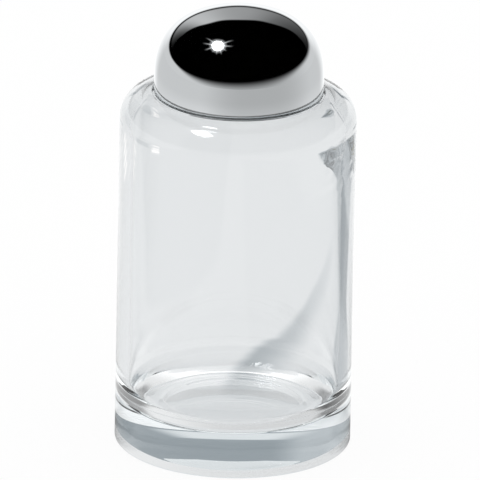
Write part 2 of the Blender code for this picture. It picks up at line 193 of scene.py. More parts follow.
def broken_edges(piece, width):
    """Takes the sharpness off a piece's edges."""
    step = piece.modifiers.new("broken_edges", "BEVEL")
    step.width = width
    step.segments = EDGE_SEGMENTS
    step.limit_method = "ANGLE"
    step.angle_limit = math.radians(SHARP_DEG)


def cut(piece, tool):
    """Cuts a tool's solid out of a piece."""
    step = piece.modifiers.new("cut", "BOOLEAN")
    step.operation = "DIFFERENCE"
    step.solver = "EXACT"
    step.object = tool


def settled(piece, *tools):
    """Applies a piece's modifiers and throws its tools away."""
    scene_state = bpy.context.evaluated_depsgraph_get()
    mesh = bpy.data.meshes.new_from_object(piece.evaluated_get(scene_state))
    piece.modifiers.clear()
    piece.data = mesh
    for tool in tools:
        bpy.data.objects.remove(tool)


def shown(piece, finish, body, node):
    """Smooths a piece, gives it its finish, and lets it stand for a node of the frame."""
    piece.data.shade_smooth()
    piece.data.set_sharp_from_angle(angle=math.radians(SHARP_DEG))
    piece.data.materials.clear()
    piece.data.materials.append(finish)
    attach(piece, body)
    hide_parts(node)
    print(piece.name, len(piece.data.polygons), "faces")


def block(name, low, high):
    """A box between two corners, for cutting."""
    bm = bmesh.new()
    bmesh.ops.create_cube(bm, size=1)
    bmesh.ops.scale(bm, verts=bm.verts, vec=Vector(high) - Vector(low))
    bmesh.ops.translate(bm, verts=bm.verts, vec=(Vector(high) + Vector(low)) / 2)
    return bm


def rod(radius, half_length, place, turned=None):
    """A round rod along Z, or turned by a matrix, for cutting."""
    bm = bmesh.new()
    bmesh.ops.create_cone(
        bm, cap_ends=True, segments=48, radius1=radius, radius2=radius, depth=2 * half_length,
    )
    if turned:
        bmesh.ops.rotate(bm, verts=bm.verts, matrix=turned)
    bmesh.ops.translate(bm, verts=bm.verts, vec=place)
    return bm


# %% [markdown]
# ## Helpers for materials
# A material is a small machine of nodes. One helper adds a node with its options and inputs,
# and the others give the three things that most finishes here are made of: a noise, a range to
# spread it over, and a relief.

# %% Material helpers
def add(tree, kind, inputs={}, **options):
    """Adds a node, sets its options, and gives its inputs their plain values or their links."""
    made = tree.nodes.new(kind)
    for name, value in options.items():
        setattr(made, name, value)
    for name, value in inputs.items():
        if isinstance(value, bpy.types.NodeSocket):
            tree.links.new(value, made.inputs[name])
        else:
            made.inputs[name].default_value = value
    return made


def new_material(name):
    """An empty node material, its tree and its Principled shader."""
    made = bpy.data.materials.new(name)
    made.use_nodes = True
    return made, made.node_tree, made.node_tree.nodes["Principled BSDF"]


def noise_field(tree, scale, detail, stretch=(1, 1, 1)):
    """Noise in object space, stretched along the axes, as a 0 to 1 value."""
    place = add(tree, "ShaderNodeTexCoord").outputs["Object"]
    mapping = add(tree, "ShaderNodeMapping", {"Vector": place, "Scale": stretch})
    field = add(
        tree, "ShaderNodeTexNoise",
        {"Vector": mapping.outputs["Vector"], "Scale": scale, "Detail": detail},
    )
    return field.outputs["Fac"]


def spread(tree, value, low, high):
    """Maps a 0 to 1 value onto a range."""
    return add(tree, "ShaderNodeMapRange", {"Value": value, "To Min": low, "To Max": high}).outputs[0]


def relief(tree, shader, height, distance, strength):
    """Turns a height field into a bump of a real depth."""
    bump = add(tree, "ShaderNodeBump", {"Height": height, "Distance": distance, "Strength": strength})
    tree.links.new(bump.outputs["Normal"], shader.inputs["Normal"])


# %% [markdown]
# ## Clear glass
# Soda glass bends light by an index of about 1.5. Its surface is fire polished, so it is sharp
# all over, with only a breath of unevenness from handling. The faint grey of thick glass is an
# absorption in its volume: it shows where light travels far, as in the heavy foot.

# %% Glass
GLASS_IOR = 1.5
GLASS_TINT = (0.80, 0.90, 0.93, 1.0)
GLASS_DENSITY = 6.0
SMEAR_SCALE = 90.0
SMEAR_ROUGHNESS = 0.012

clear_glass, tree, shader = new_material("clear_glass_polished")
shader.inputs["Base Color"].default_value = (1, 1, 1, 1)
shader.inputs["IOR"].default_value = GLASS_IOR
shader.inputs["Transmission Weight"].default_value = 1.0
smear = noise_field(tree, SMEAR_SCALE, 2.0)
tree.links.new(spread(tree, smear, 0.0, SMEAR_ROUGHNESS), shader.inputs["Roughness"])
absorb = add(tree, "ShaderNodeVolumeAbsorption", {"Color": GLASS_TINT, "Density": GLASS_DENSITY})
tree.links.new(absorb.outputs["Volume"], tree.nodes["Material Output"].inputs["Volume"])
print("glass index", GLASS_IOR)

# %% [markdown]
# ## Mirror steel
# The dome and collar are buffed until they mirror the room. A mirror has hardly a colour of its
# own, so its looks come from what surrounds it. The wheel leaves a faint haze and hair-fine
# rings round the axis, so the rings are noise over the distance from the axis and the height.

# %% Mirror steel
STEEL_COLOUR = (0.775, 0.80, 0.815, 1.0)
HAZE_SCALE = 60.0
RING_SCALE = 2600.0
RING_DEPTH = 0.0006 * MM


def ring_field(tree, scale):
    """Noise that runs in rings round the bottle's axis."""
    place = add(tree, "ShaderNodeTexCoord").outputs["Object"]
    parts = add(tree, "ShaderNodeSeparateXYZ", {"Vector": place}).outputs
    flat = add(tree, "ShaderNodeCombineXYZ", {"X": parts["X"], "Y": parts["Y"]})
    radius = add(tree, "ShaderNodeVectorMath", {0: flat.outputs[0]}, operation="LENGTH")
    rings = add(tree, "ShaderNodeCombineXYZ", {"X": radius.outputs["Value"], "Z": parts["Z"]})
    field = add(tree, "ShaderNodeTexNoise", {"Vector": rings.outputs[0], "Scale": scale, "Detail": 2.0})
    return field.outputs["Fac"]


mirror_steel, tree, shader = new_material("mirror_steel_buffed")
shader.inputs["Base Color"].default_value = STEEL_COLOUR
shader.inputs["Metallic"].default_value = 1.0
haze = noise_field(tree, HAZE_SCALE, 4.0)
tree.links.new(spread(tree, haze, 0.01, 0.03), shader.inputs["Roughness"])
relief(tree, shader, ring_field(tree, RING_SCALE), RING_DEPTH, 1.0)
print("steel", STEEL_COLOUR[:3])

# %% [markdown]
# ## Satin steel
# The pressed parts under the dome are never seen shut, so they are only brushed. Turned against
# a soft brush, they get fine rings that scatter light, with a few duller clouds between.

# %% Satin steel
SATIN_COLOUR = (0.60, 0.61, 0.62, 1.0)
BRUSH_SCALE = 2200.0
BRUSH_DEPTH = 0.004 * MM

satin_steel, tree, shader = new_material("satin_steel_brushed")
shader.inputs["Base Color"].default_value = SATIN_COLOUR
shader.inputs["Metallic"].default_value = 1.0
brushed = ring_field(tree, BRUSH_SCALE)
clouds = noise_field(tree, 120.0, 3.0)
both = add(tree, "ShaderNodeMath", {0: brushed, 1: clouds}, operation="MULTIPLY")
tree.links.new(spread(tree, both.outputs[0], 0.22, 0.52), shader.inputs["Roughness"])
relief(tree, shader, brushed, BRUSH_DEPTH, 1.0)
print("satin", SATIN_COLOUR[:3])

# %% [markdown]
# ## Silicone
# The plug and the stopper's pad are clear silicone: milky, soft in its highlights, with the
# powdery skin that it keeps from a sand-blasted mould.

# %% Silicone
SILICONE_COLOUR = (0.80, 0.82, 0.82, 1.0)
SILICONE_IOR = 1.41
SKIN_SCALE = 2400.0
SKIN_DEPTH = 0.01 * MM

clear_silicone, tree, shader = new_material("clear_silicone_soft")
shader.inputs["Base Color"].default_value = SILICONE_COLOUR
shader.inputs["Transmission Weight"].default_value = 0.35
shader.inputs["IOR"].default_value = SILICONE_IOR
bloom = noise_field(tree, 260.0, 3.0)
tree.links.new(spread(tree, bloom, 0.30, 0.5), shader.inputs["Roughness"])
relief(tree, shader, noise_field(tree, SKIN_SCALE, 2.0), SKIN_DEPTH, 0.6)
print("silicone", SILICONE_COLOUR[:3])

# %% [markdown]
# ## The glass bottle
# A heavy cylinder pressed in a mould: a floor a centimetre thick, walls of three and a half
# millimetres, and a shoulder that slopes up to a sunk land for the collar. It is one closed
# turned skin, outside and inside, because light has to enter and leave glass at real surfaces.

# %% Bottle sizes
SHOULDER_CORNER = 94.2 * MM
SHOULDER_SLOPE = math.tan(math.radians(14.6))
LAND_MARGIN = 0.35 * MM
LAND_DEPTH = 0.6 * MM
FLOOR = 10.0 * MM
FLOOR_RING = 18.4 * MM
FLOOR_SINK = 0.5 * MM
SIDE_WALL = 3.5 * MM
NECK_RADIUS = 15.0 * MM
NECK_BORE = 12.0 * MM
CEILING = 93.68 * MM
CEILING_RADIUS = 19.5 * MM
CAVITY_CORNER = 91.6 * MM
PUNT_RADIUS = 21.0 * MM
PUNT_DEPTH = 0.4 * MM

land_radius = dome_radius + LAND_MARGIN
shoulder_top = SHOULDER_CORNER + (body_radius - land_radius) * SHOULDER_SLOPE
land_height = shoulder_top - LAND_DEPTH
cavity_radius = body_radius - SIDE_WALL
neck_top = bottle_high.z
print("land at", round(land_height / MM, 2), "mm, neck up to", round(neck_top / MM, 2), "mm")

# %% Turn the bottle
BOTTLE_TURNS = 240
LONGEST_EDGE = 1.0 * MM

bottle_skin = spun(finer(profile([
    (0, PUNT_DEPTH, 0),
    (PUNT_RADIUS * 0.5, PUNT_DEPTH * 0.75, 2.0 * MM),
    (PUNT_RADIUS, 0, 0.4 * MM),
    (body_radius, 0, 0.8 * MM),
    (body_radius, SHOULDER_CORNER, 5.0 * MM),
    (land_radius, shoulder_top, 0.12 * MM),
    (land_radius, land_height, 0.12 * MM),
    (NECK_RADIUS, land_height, 0.8 * MM),
    (NECK_RADIUS, neck_top, 1.0 * MM),
    (NECK_BORE, neck_top, 1.0 * MM),
    (NECK_BORE, CEILING, 1.3 * MM),
    (CEILING_RADIUS, CEILING, 2.0 * MM),
    (cavity_radius, CAVITY_CORNER, 4.0 * MM),
    (cavity_radius, FLOOR, 8.0 * MM),
    (FLOOR_RING, FLOOR, 0.4 * MM),
    (FLOOR_RING - 0.7 * MM, FLOOR - FLOOR_SINK, 0.3 * MM),
    (0, FLOOR - FLOOR_SINK, 0),
]), LONGEST_EDGE), BOTTLE_TURNS)
print("bottle skin", len(bottle_skin.verts), "points")

# %% [markdown]
# Glass that cooled on a plunger is never quite true inside. Slow waves run down the inner wall,
# and on one side, under the shoulder, the skin has crept into ripples. Each point of the inner
# wall is moved along the radius by a noise, and stronger where the ripples are.

# %% Waves and ripples of the inner wall
WAVE_DEPTH = 0.03 * MM
RIPPLE_DEPTH = 0.07 * MM
RIPPLE_PLACE = Vector((24.0 * MM, -13.0 * MM, 84.0 * MM))
RIPPLE_REACH = 9.0 * MM


def waviness(place):
    """How far a point of the inner wall stands off its true radius."""
    slow = noise.noise(Vector((place.x / (6 * MM), place.y / (6 * MM), place.z / (40 * MM))))
    fine = noise.noise(Vector((place.x / (2.5 * MM), place.y / (2.5 * MM), place.z / (2.0 * MM))))
    near = math.exp(-((place - RIPPLE_PLACE).length / RIPPLE_REACH) ** 2)
    return WAVE_DEPTH * slow + RIPPLE_DEPTH * near * fine


moved = 0
for vert in bottle_skin.verts:
    radius = math.hypot(vert.co.x, vert.co.y)
    inside = NECK_BORE + 2 * MM < radius < cavity_radius + 0.1 * MM and FLOOR + 1 * MM < vert.co.z < CEILING
    if inside:
        out = Vector((vert.co.x, vert.co.y, 0)) / radius
        vert.co += out * waviness(vert.co)
        moved += 1
bottle = solid(bottle_skin, "bottle_glass")
shown(bottle, clear_glass, "bottle", "glass_bottle")
print("waves on", moved, "points")

# %% [markdown]
# ## The dome
# Spun from sheet over a form: squarer than half a ball, with its rim turned in. The curve is a
# superellipse, which one exponent makes rounder or squarer. At the back a notch leaves room for
# the hinge: it is cut by a block with rounded corners.

# %% Turn the dome
DOME_SQUARENESS = 2.68
DOME_WALL = 0.9 * MM
RIM_ROUNDING = 0.45 * MM
RIM_LIP = 0.5 * MM
RIM_HEIGHT = 0.7 * MM
DOME_POINTS = 44
WAIST_RISE = 1.0 * MM
SEAT_DROP = 0.2 * MM

dome_waist = dome_low.z + WAIST_RISE
seat = dome_low.z - SEAT_DROP


def dome_line(wall):
    """Points (radius, height) of the dome's outer or inner skin, from its crown to its waist."""
    rise = dome_high.z - dome_waist - wall
    points = []
    for step in range(DOME_POINTS + 1):
        angle = math.pi / 2 * (1 - step / DOME_POINTS)
        across = 0 if step == 0 else math.cos(angle) ** (2 / DOME_SQUARENESS)
        height = dome_waist + rise * math.sin(angle) ** (2 / DOME_SQUARENESS)
        points.append(((dome_radius - wall) * across, height, 0))
    return points


lip_radius = dome_radius - DOME_WALL - RIM_LIP
rim = [
    (dome_radius, seat, RIM_ROUNDING),
    (lip_radius, seat, 0.2 * MM),
    (lip_radius, dome_low.z + RIM_HEIGHT, 0.15 * MM),
]
dome = solid(spun(profile(dome_line(0)[:-1] + rim + dome_line(DOME_WALL)[::-1])), "dome_shell")
print("dome", round((dome_high.z - dome_low.z) / MM, 2), "mm high")

# %% Notch for the hinge
NOTCH_HALF_WIDTH = pin_high.x + 0.5 * MM
NOTCH_TOP = leaf_low.z + 3.8 * MM
NOTCH_ROUNDING = 0.8 * MM
KNUCKLE_RADIUS = hinge_z - leaf_low.z

notch = block(
    "notch", (-NOTCH_HALF_WIDTH, hinge_y - KNUCKLE_RADIUS - 2 * MM, dome_low.z - 2 * MM),
    (NOTCH_HALF_WIDTH, dome_radius + 2 * MM, NOTCH_TOP),
)
upper = [edge for edge in notch.edges
         if all(vert.co.z > dome_low.z for vert in edge.verts) and abs(edge.verts[0].co.x - edge.verts[1].co.x) < WELD]
bmesh.ops.bevel(
    notch, geom=upper, offset=NOTCH_ROUNDING, offset_type="OFFSET", affect="EDGES",
    segments=ROUND_SEGMENTS, profile=0.5, material=-1,
)
notch_tool = solid(notch, "notch_tool")
cut(dome, notch_tool)
settled(dome, notch_tool)
shown(dome, mirror_steel, "lid", "lid_dome")
print("notch", round(NOTCH_HALF_WIDTH * 2 / MM, 1), "mm wide, top at", round(NOTCH_TOP / MM, 2), "mm")

# %% [markdown]
# ## The collar
# A ring pressed from half-millimetre sheet. Its flange lies on the land of the glass and is the
# dome's seat, its tube stands round the glass neck, and its top edge holds the pourer down. The
# middle of the sheet is drawn as a line with bends, spun, and then given its gauge.

# %% Press the collar
SHEET = 0.5 * MM
BEND = 0.9 * MM
TUBE_CLEARANCE = 0.3 * MM
COLLAR_TOP_WIDTH = 3.6 * MM
EDGE_BREAK = 0.12 * MM

tube_middle = NECK_RADIUS + TUBE_CLEARANCE + SHEET / 2
collar = solid(spun(profile([
    (collar_high.x, collar_low.z + SHEET / 2, 0),
    (tube_middle, collar_low.z + SHEET / 2, BEND),
    (tube_middle, collar_high.z - SHEET / 2, BEND),
    (tube_middle - COLLAR_TOP_WIDTH, collar_high.z - SHEET / 2, 0),
])), "collar_ring")
sheet(collar, SHEET)
broken_edges(collar, EDGE_BREAK)
settled(collar)
shown(collar, mirror_steel, "head", "collar")

# %% [markdown]
# ## The pourer
# A plate with a dish that catches drips, and a flared spout with a turned lip. The spout leans
# forward and its lip runs out to a beak that cuts the stream off. The straight spout is spun
# first, then its points are pushed forward by amounts that grow with the height. Air comes back
# into the bottle through a small vent in the dish.

# %% Line of the pourer
DISH_RADIUS = 9.0 * MM
DISH_DEPTH = 1.2 * MM
DISH_BEND = 0.6 * MM
SPOUT_RADIUS = 4.35 * MM
SPOUT_ROOT_BEND = 1.0 * MM
SPOUT_FLARE = 1.5 * MM
FLARE_POINTS = 14
LIP_WIDTH = 0.7 * MM
LIP_DROP = 0.25 * MM
LIP_BEND = 0.3 * MM

dish_middle = pourer_low.z + SHEET / 2
lip_middle = pourer_high.z - SHEET / 2
pourer_line = [
    (pourer_high.x, dish_middle + DISH_DEPTH, 0),
    (DISH_RADIUS, dish_middle + DISH_DEPTH, DISH_BEND),
    (DISH_RADIUS - DISH_DEPTH, dish_middle, DISH_BEND),
    (SPOUT_RADIUS, dish_middle, SPOUT_ROOT_BEND),
]
for step in range(3, FLARE_POINTS + 1):
    share = step / FLARE_POINTS
    height = dish_middle + (lip_middle - dish_middle) * share
    pourer_line.append((SPOUT_RADIUS + SPOUT_FLARE * share**3, height, LIP_BEND if share == 1 else 0))
pourer_line.append((SPOUT_RADIUS + SPOUT_FLARE + LIP_WIDTH, lip_middle - LIP_DROP, 0))
pourer_skin = spun(profile(pourer_line))
print("spout", round((lip_middle - dish_middle) / MM, 2), "mm high")

# %% Lean, beak and vent
SPOUT_LEAN = 1.2 * MM
BEAK_REACH = 1.5 * MM
SPOUT_REACH = 7.2 * MM
VENT_RADIUS = 0.8 * MM
VENT_Y = 6.7 * MM

for vert in pourer_skin.verts:
    share = (vert.co.z - dish_middle - SHEET / 2) / (lip_middle - dish_middle)
    radius = math.hypot(vert.co.x, vert.co.y)
    if share > 0 and radius < SPOUT_REACH:
        facing = max(0.0, -vert.co.y / radius)
        vert.co.y -= SPOUT_LEAN * share**2 + BEAK_REACH * share**3 * facing**3
pourer = solid(pourer_skin, "pourer_spout")
sheet(pourer, SHEET)
broken_edges(pourer, EDGE_BREAK)
vent_tool = solid(rod(VENT_RADIUS, 3 * MM, (0, VENT_Y, dish_middle)), "vent_tool")
cut(pourer, vent_tool)
settled(pourer, vent_tool)
shown(pourer, satin_steel, "head", "pourer")

# %% [markdown]
# ## The plug
# A moulded silicone sleeve. Three soft ribs grip the bore of the neck, and a flange on top keeps
# the steel off the glass. Moulded silicone has no sharp edge anywhere, so every corner of its
# section is rounded.

# %% Mould the plug
PLUG_FLANGE = 0.8 * MM
RIB_RADIUS = NECK_BORE - 0.2 * MM
RIB_DEPTH = 0.7 * MM
RIB_PITCH = 2.4 * MM
RIB_WIDTH = 1.4 * MM
RIBS = 3
PLUG_BORE = 10.0 * MM
PLUG_TURNS = 128

plug_seat = plug_high.z - PLUG_FLANGE
core = RIB_RADIUS - RIB_DEPTH
plug_line = [
    (PLUG_BORE, plug_high.z, 0.3 * MM),
    (plug_high.x, plug_high.z, 0.3 * MM),
    (plug_high.x, plug_seat, 0.25 * MM),
    (core, plug_seat, 0.3 * MM),
]
for rib in range(RIBS):
    middle = plug_seat - (rib + 1) * RIB_PITCH
    plug_line += [
        (core, middle + RIB_WIDTH / 2, 0.15 * MM),
        (RIB_RADIUS, middle + RIB_WIDTH / 5, 0.25 * MM),
        (RIB_RADIUS, middle - RIB_WIDTH / 3, 0.2 * MM),
        (core, middle - RIB_WIDTH / 2, 0.15 * MM),
    ]
plug_line += [(core, plug_low.z, 0.5 * MM), (PLUG_BORE, plug_low.z, 0.25 * MM)]
plug = solid(spun(profile(plug_line, closed=True), PLUG_TURNS), "plug_sleeve")
shown(plug, clear_silicone, "head", "neck_plug")

# %% [markdown]
# ## The hinge's fixed half
# Two ears and a foot plate from one stamping, spot welded to the collar. A blank is extruded
# from the ear's outline, and blocks and rods then take away what a stamping tool would: the
# middle over the plate, the room for the knuckle, the pin's bore, and two weld dimples.

# %% Stamp the bracket
SIDEWAYS = Matrix.Rotation(math.pi / 2, 3, "Y")
EAR_THICKNESS = 1.1 * MM
KNUCKLE_GAP = 0.25 * MM
PIN_BORE = 0.9 * MM
WELD_RADIUS = 0.6 * MM
WELD_DEPTH = 0.12 * MM

ear_radius = hinge_z - bracket_low.z
ear_inside = bracket_high.x - EAR_THICKNESS
outline = profile([
    (bracket_low.y, bracket_low.z, 0),
    (bracket_high.y, bracket_low.z, ear_radius * 0.98),
    (bracket_high.y, bracket_high.z, ear_radius * 0.98),
    (hinge_y, bracket_high.z, 0.3 * MM),
    (bracket_low.y, bracket_low.z + SHEET, 0),
], closed=True)
bmesh.ops.rotate(outline, verts=outline.verts, matrix=Matrix.Rotation(math.pi / 2, 3, "Z"))
face = bmesh.ops.contextual_create(outline, geom=outline.edges[:])["faces"]
grown = bmesh.ops.extrude_face_region(outline, geom=face)["geom"]
moved = [part for part in grown if isinstance(part, bmesh.types.BMVert)]
bmesh.ops.translate(outline, verts=moved, vec=(2 * bracket_high.x, 0, 0))
bmesh.ops.translate(outline, verts=outline.verts, vec=(-bracket_high.x, 0, 0))
bmesh.ops.recalc_face_normals(outline, faces=outline.faces)
bracket = solid(outline, "hinge_ears")

tools = [
    solid(block("middle", (-ear_inside, bracket_low.y - MM, bracket_low.z + SHEET),
                (ear_inside, bracket_high.y + MM, bracket_high.z + MM)), "middle_tool"),
    solid(block("slot", (-ear_inside, hinge_y - KNUCKLE_RADIUS - KNUCKLE_GAP, bracket_low.z - MM),
                (ear_inside, bracket_high.y + MM, hinge_z)), "slot_tool"),
    solid(rod(PIN_BORE, pin_high.x + MM, (0, hinge_y, hinge_z), SIDEWAYS), "bore_tool"),
]
weld_y = bracket_low.y + 1.3 * MM
weld_z = bracket_low.z + SHEET + MM - WELD_DEPTH
for side in (-1, 1):
    tools.append(solid(rod(WELD_RADIUS, MM, (side * 1.3 * MM, weld_y, weld_z)), "weld_tool"))
for tool in tools:
    cut(bracket, tool)
broken_edges(bracket, 0.06 * MM)
settled(bracket, *tools)
shown(bracket, satin_steel, "head", "hinge_bracket")

# %% [markdown]
# ## The pin
# A pin with a low round head at each end: one head is formed, the other is peened over once the
# knuckle is between the ears. It is turned upright like the other pieces, then laid on its side.

# %% Turn the pin
PIN_RADIUS = 0.8 * MM
HEAD_THICKNESS = 0.5 * MM
PIN_TURNS = 48

head_radius = (pin_high.z - pin_low.z) / 2
head_inside = pin_high.x - HEAD_THICKNESS
half_pin = [
    (0, pin_high.x, 0),
    (head_radius, pin_high.x, 0.32 * MM),
    (head_radius, head_inside, 0.08 * MM),
    (PIN_RADIUS, head_inside, 0),
]
pin_skin = spun(profile(half_pin + [(radius, -along, bend) for radius, along, bend in half_pin[::-1]]), PIN_TURNS)
bmesh.ops.rotate(pin_skin, verts=pin_skin.verts, matrix=SIDEWAYS)
bmesh.ops.translate(pin_skin, verts=pin_skin.verts, vec=(0, hinge_y, hinge_z))
pin = solid(pin_skin, "hinge_rivet")
shown(pin, satin_steel, "head", "hinge_pin")

# %% [markdown]
# ## The hinge's moving half
# One strip of sheet: its lower end is curled round the pin as a knuckle, and the rest runs up
# the inside of the dome and is spot welded there. The curl is spun from one point round the
# pin's axis, the strip's line follows the dome, and the whole line is extruded sideways.

# %% Bend the leaf
STRAP = 0.7 * MM
WALL_GAP = 0.3 * MM
CURL_DEG = 265
STRAP_POINTS = 36
STRAP_CUTS = 25
CORNER = 1.4 * MM
DIMPLE_HEIGHTS = (3.4 * MM, 5.8 * MM)
DIMPLE_RADIUS = 0.75 * MM
DIMPLE_DEPTH = 0.22 * MM

curl_radius = KNUCKLE_RADIUS - STRAP / 2
strap_top = leaf_high.z
half_width = leaf_high.x


def inner_wall(height):
    """The Y of the dome's inner skin over the edges of the strap, at a height."""
    share = max(0.0, height - dome_waist) / (dome_high.z - dome_waist - DOME_WALL)
    radius = (dome_radius - DOME_WALL) * (1 - share**DOME_SQUARENESS) ** (1 / DOME_SQUARENESS)
    return math.sqrt(radius**2 - half_width**2)


leaf_skin = bmesh.new()
root = leaf_skin.verts.new((-half_width, hinge_y - curl_radius, hinge_z))
bmesh.ops.spin(
    leaf_skin, geom=[root], cent=(0, hinge_y, hinge_z), axis=(1, 0, 0),
    angle=math.radians(CURL_DEG), steps=28, use_merge=False,
)
last = root
for step in range(1, STRAP_POINTS + 1):
    height = hinge_z + (strap_top - hinge_z) * step / STRAP_POINTS
    y = inner_wall(height) - WALL_GAP - STRAP / 2
    share = min(1.0, (height - hinge_z) / (NOTCH_TOP - hinge_z))
    y = (1 - share) * (hinge_y - curl_radius) + share * y
    point = leaf_skin.verts.new((-half_width, y, height))
    leaf_skin.edges.new((last, point))
    last = point
line = leaf_skin.edges[:]
grown = bmesh.ops.extrude_edge_only(leaf_skin, edges=line)["geom"]
moved = [part for part in grown if isinstance(part, bmesh.types.BMVert)]
bmesh.ops.translate(leaf_skin, verts=moved, vec=(2 * half_width, 0, 0))
bmesh.ops.remove_doubles(leaf_skin, verts=leaf_skin.verts, dist=WELD)
across = [edge for edge in leaf_skin.edges if abs(edge.verts[0].co.x - edge.verts[1].co.x) > half_width]
bmesh.ops.subdivide_edges(leaf_skin, edges=across, cuts=STRAP_CUTS, use_grid_fill=True)
bmesh.ops.recalc_face_normals(leaf_skin, faces=leaf_skin.faces)
print("strap", round((strap_top - hinge_z) / MM, 1), "mm over the pin")

# %% Corners and weld dimples of the leaf
for vert in leaf_skin.verts:
    over = vert.co.z - (strap_top - CORNER)
    if over > 0:
        widest = half_width - CORNER + math.sqrt(max(0.0, CORNER**2 - over**2))
        vert.co.x *= widest / half_width
    for rise in DIMPLE_HEIGHTS:
        off = math.hypot(vert.co.x, vert.co.z - hinge_z - rise)
        if vert.co.y > hinge_y - 5 * MM and vert.co.z > NOTCH_TOP:
            vert.co.y += DIMPLE_DEPTH * math.exp(-((off / DIMPLE_RADIUS) ** 4))
leaf = solid(leaf_skin, "hinge_strap")
sheet(leaf, STRAP)
broken_edges(leaf, EDGE_BREAK)
settled(leaf)
shown(leaf, satin_steel, "lid", "hinge_leaf")

# %% [markdown]
# ## The stopper
# A soft disc in a pressed cup, on a hub that is welded under the crown. When the dome is shut,
# the disc rests over the spout and keeps air and dust out. The cup gets a pressed bead, and the
# disc a shallow hollow over the stream, both as corners of the turned section.

# %% Turn the cup and the pad
CUP_GRIP = 0.8 * MM
HUB_RADIUS = 3.2 * MM
BEAD = 0.3 * MM

cup_floor = cup_low.z + CUP_GRIP
cup_top = cup_floor + SHEET
cup = solid(spun(profile([
    (0, cup_floor, 0),
    (cup_high.x - SHEET, cup_floor, 0.15 * MM),
    (cup_high.x - SHEET, cup_low.z, 0.12 * MM),
    (cup_high.x, cup_low.z, 0.12 * MM),
    (cup_high.x, cup_top, 0.45 * MM),
    (7.6 * MM, cup_top, 0.25 * MM),
    (7.2 * MM, cup_top + BEAD, 0.2 * MM),
    (6.4 * MM, cup_top + BEAD, 0.2 * MM),
    (6.0 * MM, cup_top, 0.25 * MM),
    (HUB_RADIUS, cup_top, 0.8 * MM),
    (HUB_RADIUS, cup_high.z, 0.15 * MM),
    (0, cup_high.z, 0),
])), "stopper_shell")
shown(cup, satin_steel, "lid", "stopper_cup")

pad = solid(spun(profile([
    (0, pad_low.z + BEAD, 0),
    (2.8 * MM, pad_low.z + BEAD, 0.3 * MM),
    (3.3 * MM, pad_low.z, 0.2 * MM),
    (pad_high.x, pad_low.z, 0.4 * MM),
    (pad_high.x, pad_high.z, 0.15 * MM),
    (0, pad_high.z, 0),
]), PLUG_TURNS), "stopper_disc")
shown(pad, clear_silicone, "lid", "stopper_pad")

# %% [markdown]
# ## Helpers for light
# The studio isn't built of lamps and boards. It is written into the world as brightness by
# direction, because polished steel and clear glass show nothing but their surroundings. These
# helpers do arithmetic with nodes: any argument may be a number or another node's output.

# %% Light helpers
def maths(tree, operation, *sources):
    """One step of arithmetic."""
    return add(tree, "ShaderNodeMath", dict(enumerate(sources)), operation=operation).outputs[0]


def rise(tree, value, low, high, start=0.0, end=1.0):
    """Runs smoothly from start, at low, to end, at high."""
    inputs = {"Value": value, "From Min": low, "From Max": high, "To Min": start, "To Max": end}
    return add(tree, "ShaderNodeMapRange", inputs, interpolation_type="SMOOTHSTEP").outputs[0]


def total(tree, *parts):
    """The sum of several values."""
    summed = parts[0]
    for part in parts[1:]:
        summed = maths(tree, "ADD", summed, part)
    return summed


def product(tree, *parts):
    """The product of several values."""
    made = parts[0]
    for part in parts[1:]:
        made = maths(tree, "MULTIPLY", made, part)
    return made


def length(tree, across, along):
    """The length of a flat vector."""
    return maths(tree, "SQRT", total(tree, product(tree, across, across), product(tree, along, along)))


def stops(tree, value, points, course="B_SPLINE"):
    """A curve through (place, height) points."""
    ramp = add(tree, "ShaderNodeValToRGB", {"Fac": value})
    ramp.color_ramp.interpolation = course
    elements = ramp.color_ramp.elements
    elements.remove(elements[1])
    elements[0].position = points[0][0]
    for place, _ in points[1:]:
        elements.new(place)
    for element, (_, height) in zip(elements, points):
        element.color = (height, height, height, 1)
    return ramp.outputs["Color"]


def around(tree, vector):
    """The right and back shares of a direction's flat part, and its height."""
    x, y, z = add(tree, "ShaderNodeSeparateXYZ", {"Vector": vector}).outputs
    flat = maths(tree, "MAXIMUM", length(tree, x, y), 0.0001)
    return maths(tree, "DIVIDE", x, flat), maths(tree, "DIVIDE", y, flat), z


def slate(tree, light):
    """Turns a brightness into the cool grey that thick glass gives to whatever is dark."""
    red = maths(tree, "POWER", light, SLATE[0])
    green = maths(tree, "POWER", light, SLATE[1])
    return add(tree, "ShaderNodeCombineColor", {"Red": red, "Green": green, "Blue": light}).outputs[0]


def chosen(tree, switch, other, picked):
    """One colour where the switch is 0, and another where it is 1."""
    made = add(tree, "ShaderNodeMix", {"Factor": switch}, data_type="RGBA")
    for name, value in (("A", other), ("B", picked)):
        socket = next(one for one in made.inputs if one.name == name and one.type == "RGBA")
        if isinstance(value, bpy.types.NodeSocket):
            tree.links.new(value, socket)
        else:
            socket.default_value = (value, value, value, 1)
    return next(one for one in made.outputs if one.type == "RGBA")


SLATE = (1.18, 1.07)
print("helpers for light ready")

# %% [markdown]
# ## What the steel mirrors
# Round the horizon the studio is a pale paper, a little brighter behind the bottle. Overhead
# it is dark, so the dome carries a black cap. The paper's upper edge is soft, and it is stored as
# a fade between two heights that change slowly round the bottle.

# %% Pale paper round the horizon
STEEL_VIEW = 0.80
PAPER = 0.58
PAPER_BEHIND = 0.32
PAPER_FRONT_RIGHT = -0.17


def paper(tree, right, back):
    """How bright the paper looks round the horizon, for steel to show it."""
    behind = product(tree, rise(tree, back, 0.70, 0.98), PAPER_BEHIND)
    front_right = maths(tree, "SUBTRACT", product(tree, right, 0.5), product(tree, back, 0.866))
    dip = product(tree, rise(tree, front_right, 0.1, 1.0), PAPER_FRONT_RIGHT)
    return maths(tree, "DIVIDE", total(tree, behind, dip, PAPER), STEEL_VIEW)


